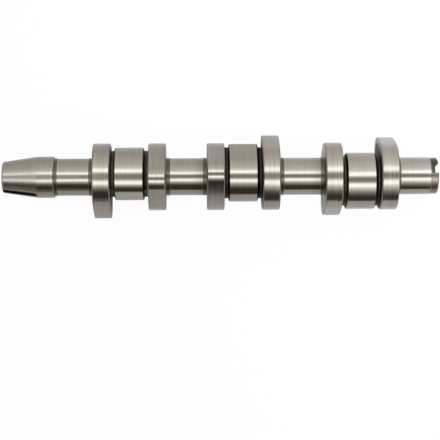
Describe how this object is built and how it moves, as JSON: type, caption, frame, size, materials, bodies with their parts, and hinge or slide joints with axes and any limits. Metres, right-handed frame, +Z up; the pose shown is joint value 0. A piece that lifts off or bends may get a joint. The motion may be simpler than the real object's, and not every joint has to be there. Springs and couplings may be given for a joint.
{
  "type": "camshaft",
  "caption": "One-piece cast camshaft with a taper nose, ground journals, paired valve lobes around wide injector lobes, and a slotted drive end.",
  "frame": {"origin": "on the surface that it lies on, under the shaft's axis, halfway along its length", "axes": "+X along the shaft's axis from the taper nose to the slotted drive end; +Z up from the surface; the first cylinder's injector lobe is at 0 degrees, which is +Z, and angles grow from +Z to +Y"},
  "size_m": [0.337, 0.0645, 0.0607],
  "materials": {
    "cast_and_ground_iron": "chilled cast iron, ground bright on the taper, journals and lobes, dark as cast between them"
  },
  "bodies": {
    "root": {"camshaft": "cast_and_ground_iron"}
  },
  "joints": []
}
